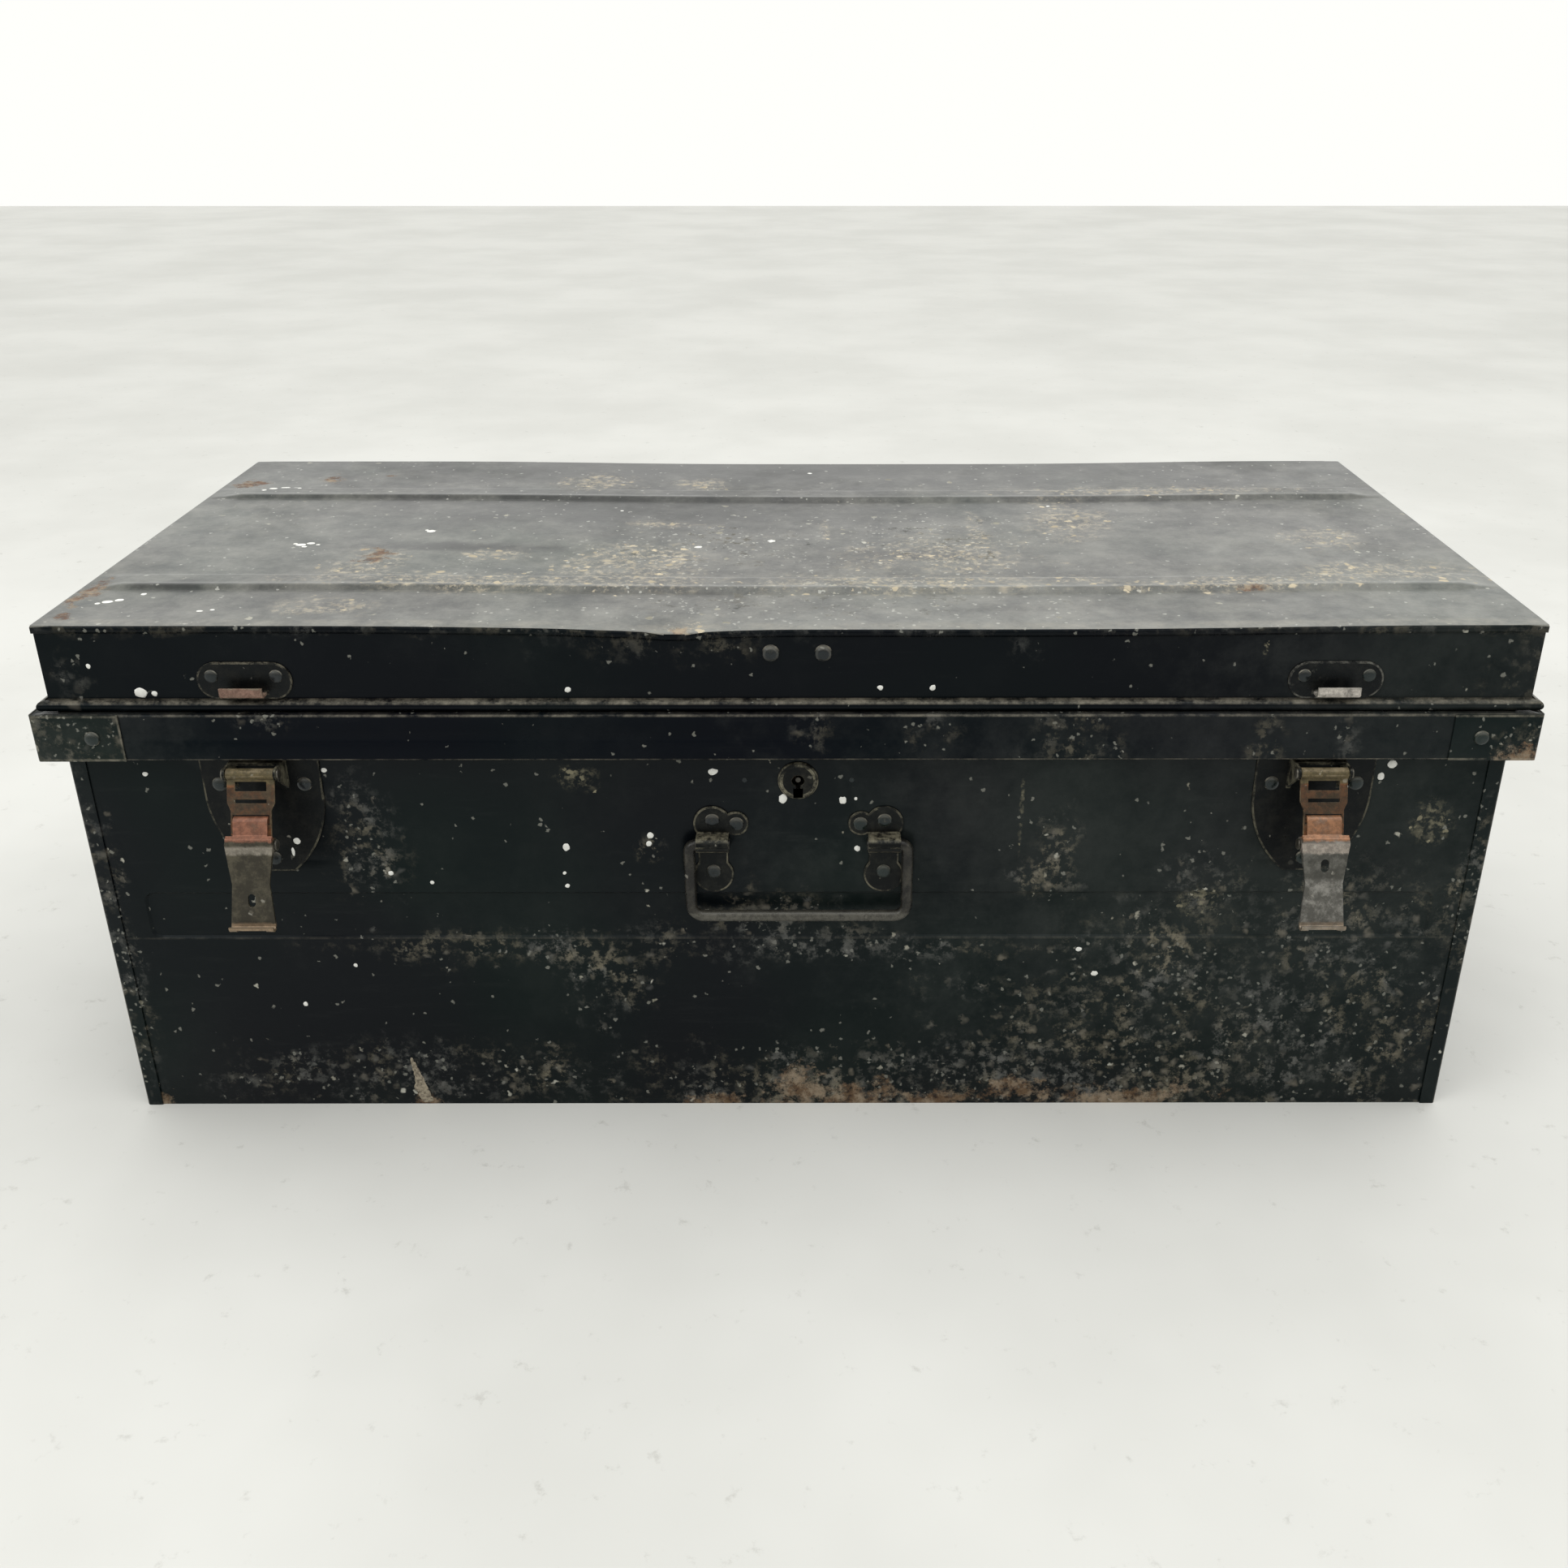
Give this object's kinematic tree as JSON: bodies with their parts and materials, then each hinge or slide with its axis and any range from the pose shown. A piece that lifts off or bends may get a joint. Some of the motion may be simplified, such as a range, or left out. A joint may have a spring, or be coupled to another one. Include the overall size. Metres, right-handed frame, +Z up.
{
  "type": "tin trunk",
  "caption": "Small black tin trunk with hinged lid, raised rim, draw latches hanging open, box lock and bail handles.",
  "frame": {"origin": "middle of the base, on the floor", "axes": "+X along the trunk to its right end as seen from the front, -Y out of the front, +Z up"},
  "size_m": [0.7838, 0.4052, 0.3012],
  "materials": {
    "wall_paint": "black stoving enamel, scuffed and spotted with rust",
    "end_paint": "black stoving enamel, scuffed",
    "pan_paint": "black enamel, dull",
    "rim_paint": "black enamel worn to grey along the edges",
    "corner_steel": "enamel worn through to stained steel",
    "rivet_steel": "dull, paint-chipped",
    "bracket_steel": "black enamel over steel",
    "bail_steel": "black enamel, handled bright",
    "latch_plate_steel": "black enamel with brown rust",
    "pin_steel": "dull steel",
    "latch_link_steel": "rusted plated steel",
    "latch_lever_steel": "tarnished plated steel",
    "escutcheon_steel": "black enamel over steel",
    "lock_steel": "dull steel",
    "hinge_steel": "black enamel over steel",
    "lid_top_paint": "black stoving enamel, half gloss, dusty and rust-spotted",
    "lid_wall_paint": "black stoving enamel",
    "wire_steel": "dull steel wire",
    "keeper_steel": "black enamel with rust on the hook"
  },
  "bodies": {
    "trunk": {"front_panel": "wall_paint", "back_panel": "wall_paint", "left_end_panel": "end_paint", "right_end_panel": "end_paint", "bottom_pan": "pan_paint", "rim_front": "rim_paint", "rim_back": "rim_paint", "rim_left": "rim_paint", "rim_right": "rim_paint", "corner_plate_front_left": "corner_steel", "corner_plate_front_right": "corner_steel", "corner_plate_back_left": "corner_steel", "corner_plate_back_right": "corner_steel", "corner_plate_rivets": "rivet_steel", "front_handle_bracket_left": "bracket_steel", "front_handle_bracket_right": "bracket_steel", "front_handle_rivets": "rivet_steel", "left_end_handle_bracket_back": "bracket_steel", "left_end_handle_bracket_front": "bracket_steel", "right_end_handle_bracket_back": "bracket_steel", "right_end_handle_bracket_front": "bracket_steel", "end_handle_rivets": "rivet_steel", "latch_base_left": "latch_plate_steel", "latch_base_right": "latch_plate_steel", "latch_base_rivets": "rivet_steel", "latch_base_pin_left": "pin_steel", "latch_base_pin_right": "pin_steel", "lock_case": "lock_steel", "lock_drill_pin": "lock_steel", "lock_escutcheon": "escutcheon_steel", "lock_rivets": "rivet_steel", "hinge_body_leaf_left": "hinge_steel", "hinge_body_leaf_right": "hinge_steel", "hinge_pins": "pin_steel", "hinge_body_rivets": "rivet_steel"},
    "lid": {"lid_top": "lid_top_paint", "lid_front_wall": "lid_wall_paint", "lid_back_wall": "lid_wall_paint", "lid_left_wall": "lid_wall_paint", "lid_right_wall": "lid_wall_paint", "lid_edge_wire": "wire_steel", "keeper_left": "keeper_steel", "keeper_right": "keeper_steel", "keeper_rivets": "rivet_steel", "lock_staple": "lock_steel", "staple_rivets": "rivet_steel", "hinge_lid_leaf_left": "hinge_steel", "hinge_lid_leaf_right": "hinge_steel", "hinge_lid_rivets": "rivet_steel"},
    "front_bail": {"front_handle_bail": "bail_steel"},
    "left_end_bail": {"left_end_handle_bail": "bail_steel"},
    "right_end_bail": {"right_end_handle_bail": "bail_steel"},
    "latch_link_left": {"latch_link_left": "latch_link_steel", "latch_knuckle_pin_left": "pin_steel"},
    "latch_link_right": {"latch_link_right": "latch_link_steel", "latch_knuckle_pin_right": "pin_steel"},
    "latch_lever_left": {"latch_lever_left": "latch_lever_steel"},
    "latch_lever_right": {"latch_lever_right": "latch_lever_steel"},
    "lock_bolt": {"lock_bolt": "lock_steel"}
  },
  "joints": [
    {"name": "lid_hinge", "type": "hinge", "parent": "trunk", "child": "lid", "pos_m": [0, 0.1837, 0.2495], "axis": [-1, 0, 0], "range_deg": [0, 105]},
    {"name": "front_bail_swing", "type": "hinge", "parent": "trunk", "child": "front_bail", "pos_m": [0.0052, -0.1762, 0.1755], "axis": [-1, 0, 0], "range_deg": [0, 170]},
    {"name": "left_end_bail_swing", "type": "hinge", "parent": "trunk", "child": "left_end_bail", "pos_m": [-0.386, 0, 0.1755], "axis": [0, 1, 0], "range_deg": [0, 170]},
    {"name": "right_end_bail_swing", "type": "hinge", "parent": "trunk", "child": "right_end_bail", "pos_m": [0.386, 0, 0.1755], "axis": [0, -1, 0], "range_deg": [0, 170]},
    {"name": "left_latch_swing", "type": "hinge", "parent": "trunk", "child": "latch_link_left", "pos_m": [-0.2795, -0.184, 0.2212], "axis": [-1, 0, 0], "range_deg": [0, 157.5]},
    {"name": "left_latch_lever", "type": "hinge", "parent": "latch_link_left", "child": "latch_lever_left", "pos_m": [-0.2795, -0.19816, 0.18702], "axis": [-1, 0, 0], "range_deg": [-172.5, 0]},
    {"name": "right_latch_swing", "type": "hinge", "parent": "trunk", "child": "latch_link_right", "pos_m": [0.2795, -0.184, 0.2212], "axis": [-1, 0, 0], "range_deg": [0, 157.5]},
    {"name": "right_latch_lever", "type": "hinge", "parent": "latch_link_right", "child": "latch_lever_right", "pos_m": [0.2795, -0.19816, 0.18702], "axis": [-1, 0, 0], "range_deg": [-172.5, 0]},
    {"name": "lock_bolt_slide", "type": "slide", "parent": "trunk", "child": "lock_bolt", "axis": [1, 0, 0], "range_m": [0, 0.006]}
  ],
  "couplings": [
    {"joint": "left_latch_lever", "follows": "left_latch_swing", "ratio": -1.0952},
    {"joint": "right_latch_lever", "follows": "right_latch_swing", "ratio": -1.0952}
  ]
}
